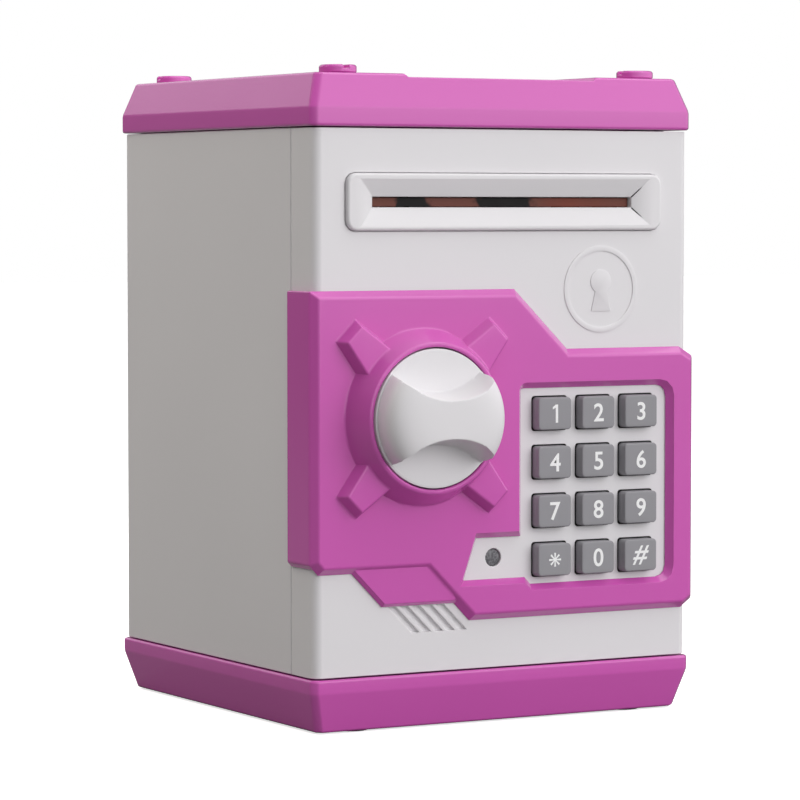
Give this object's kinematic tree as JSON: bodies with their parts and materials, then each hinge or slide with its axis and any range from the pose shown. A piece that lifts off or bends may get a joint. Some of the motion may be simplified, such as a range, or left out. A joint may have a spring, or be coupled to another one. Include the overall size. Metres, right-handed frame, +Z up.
{
  "type": "toy safe coin bank",
  "caption": "Toy safe money box with hinged keypad door, dial knob and lock bolt, motor-fed banknote slot, coin slot in the lid and a battery case in the door.",
  "frame": {"origin": "centre of the overall footprint at the level that the feet stand on", "axes": "+Z up, +X to the right of someone facing the door, +Y from the door to the back"},
  "size_m": [0.1314, 0.1482, 0.1929],
  "materials": {
    "white_plastic": "satin moulded plastic",
    "inner_plastic": "matt moulded plastic",
    "pink_plastic": "glossy moulded plastic",
    "key_grey": "matt grey plastic",
    "black_rubber": "matt rubber",
    "brown_plastic": "dark brown moulded plastic",
    "steel": "plated steel",
    "spring_brass": "bright spring brass",
    "circuit_board": "green solder mask",
    "led_lens": "clear grey lens",
    "cell_wrap": "printed shrink wrap"
  },
  "bodies": {
    "safe": {"body_shell": "white_plastic", "top_cover": "pink_plastic", "bottom_cover": "pink_plastic", "hinge_pin_top": "steel", "hinge_pin_bottom": "steel", "corner_stud_front_left": "pink_plastic", "corner_stud_front_right": "pink_plastic", "corner_stud_back_left": "pink_plastic", "corner_stud_back_right": "pink_plastic", "rubber_foot_1": "black_rubber", "rubber_foot_2": "black_rubber", "rubber_foot_3": "black_rubber", "rubber_foot_4": "black_rubber", "base_screw_1": "steel", "base_screw_2": "steel", "base_screw_3": "steel", "base_screw_4": "steel"},
    "door": {"door_panel": "white_plastic", "door_trim": "pink_plastic", "bill_slot_bezel": "white_plastic", "door_back_cover": "inner_plastic", "door_screw_1": "steel", "door_screw_2": "steel", "door_screw_3": "steel", "door_screw_4": "steel", "battery_1": "cell_wrap", "battery_2": "cell_wrap", "battery_3": "cell_wrap", "battery_contact_left": "spring_brass", "battery_contact_right": "spring_brass", "control_board": "circuit_board", "keypad_membrane": "black_rubber", "status_led": "led_lens", "speaker": "steel", "lock_solenoid": "steel", "feeder_frame": "brown_plastic", "feeder_motor": "steel"},
    "dial": {"door_knob": "white_plastic", "knob_crank": "brown_plastic"},
    "bolt": {"lock_bolt": "inner_plastic"},
    "plunger": {"solenoid_plunger": "steel"},
    "battery_lid": {"battery_cover": "inner_plastic"},
    "drive_roller": {"drive_shaft": "steel", "drive_gear": "inner_plastic", "drive_tyre_left": "black_rubber", "drive_tyre_right": "black_rubber"},
    "pinch": {"pinch_roller": "black_rubber"},
    "pinion": {"motor_pinion": "inner_plastic"},
    "key_1_body": {"key_1": "key_grey"},
    "key_2_body": {"key_2": "key_grey"},
    "key_3_body": {"key_3": "key_grey"},
    "key_4_body": {"key_4": "key_grey"},
    "key_5_body": {"key_5": "key_grey"},
    "key_6_body": {"key_6": "key_grey"},
    "key_7_body": {"key_7": "key_grey"},
    "key_8_body": {"key_8": "key_grey"},
    "key_9_body": {"key_9": "key_grey"},
    "key_star_body": {"key_star": "key_grey"},
    "key_0_body": {"key_0": "key_grey"},
    "key_hash_body": {"key_hash": "key_grey"}
  },
  "joints": [
    {"name": "door_hinge", "type": "hinge", "parent": "safe", "child": "door", "pos_m": [0.06, -0.043, 0.0955], "axis": [0, 0, 1], "range_deg": [0, 92]},
    {"name": "dial_turn", "type": "hinge", "parent": "door", "child": "dial", "pos_m": [-0.0296, -0.0556, 0.09115], "axis": [0, 1, 0], "range_deg": [0, 60]},
    {"name": "bolt_slide", "type": "slide", "parent": "door", "child": "bolt", "axis": [-1, 0, 0], "range_m": [0, 0.0067]},
    {"name": "plunger_slide", "type": "slide", "parent": "door", "child": "plunger", "axis": [0, 0, -1], "range_m": [0, 0.0045], "stiffness_N_per_m": 60, "springref_m": -0.002},
    {"name": "battery_cover_slide", "type": "slide", "parent": "door", "child": "battery_lid", "axis": [0, 1, 0], "range_m": [0, 0.03]},
    {"name": "drive_roller_turn", "type": "hinge", "parent": "door", "child": "drive_roller", "pos_m": [0, -0.0385, 0.1486], "axis": [1, 0, 0], "continuous": true},
    {"name": "pinch_roller_turn", "type": "hinge", "parent": "door", "child": "pinch", "pos_m": [0, -0.0385, 0.1582], "axis": [1, 0, 0], "continuous": true},
    {"name": "motor_pinion_turn", "type": "hinge", "parent": "door", "child": "pinion", "pos_m": [0, -0.0385, 0.1355], "axis": [1, 0, 0], "continuous": true},
    {"name": "key_1_press", "type": "slide", "parent": "door", "child": "key_1_body", "axis": [0, 1, 0], "range_m": [0, 0.0012], "stiffness_N_per_m": 200},
    {"name": "key_2_press", "type": "slide", "parent": "door", "child": "key_2_body", "axis": [0, 1, 0], "range_m": [0, 0.0012], "stiffness_N_per_m": 200},
    {"name": "key_3_press", "type": "slide", "parent": "door", "child": "key_3_body", "axis": [0, 1, 0], "range_m": [0, 0.0012], "stiffness_N_per_m": 200},
    {"name": "key_4_press", "type": "slide", "parent": "door", "child": "key_4_body", "axis": [0, 1, 0], "range_m": [0, 0.0012], "stiffness_N_per_m": 200},
    {"name": "key_5_press", "type": "slide", "parent": "door", "child": "key_5_body", "axis": [0, 1, 0], "range_m": [0, 0.0012], "stiffness_N_per_m": 200},
    {"name": "key_6_press", "type": "slide", "parent": "door", "child": "key_6_body", "axis": [0, 1, 0], "range_m": [0, 0.0012], "stiffness_N_per_m": 200},
    {"name": "key_7_press", "type": "slide", "parent": "door", "child": "key_7_body", "axis": [0, 1, 0], "range_m": [0, 0.0012], "stiffness_N_per_m": 200},
    {"name": "key_8_press", "type": "slide", "parent": "door", "child": "key_8_body", "axis": [0, 1, 0], "range_m": [0, 0.0012], "stiffness_N_per_m": 200},
    {"name": "key_9_press", "type": "slide", "parent": "door", "child": "key_9_body", "axis": [0, 1, 0], "range_m": [0, 0.0012], "stiffness_N_per_m": 200},
    {"name": "key_star_press", "type": "slide", "parent": "door", "child": "key_star_body", "axis": [0, 1, 0], "range_m": [0, 0.0012], "stiffness_N_per_m": 200},
    {"name": "key_0_press", "type": "slide", "parent": "door", "child": "key_0_body", "axis": [0, 1, 0], "range_m": [0, 0.0012], "stiffness_N_per_m": 200},
    {"name": "key_hash_press", "type": "slide", "parent": "door", "child": "key_hash_body", "axis": [0, 1, 0], "range_m": [0, 0.0012], "stiffness_N_per_m": 200}
  ],
  "couplings": [
    {"joint": "bolt_slide", "follows": "dial_turn", "m_per_rad": 0.006207},
    {"joint": "pinch_roller_turn", "follows": "drive_roller_turn", "ratio": -1},
    {"joint": "motor_pinion_turn", "follows": "drive_roller_turn", "ratio": -3}
  ]
}
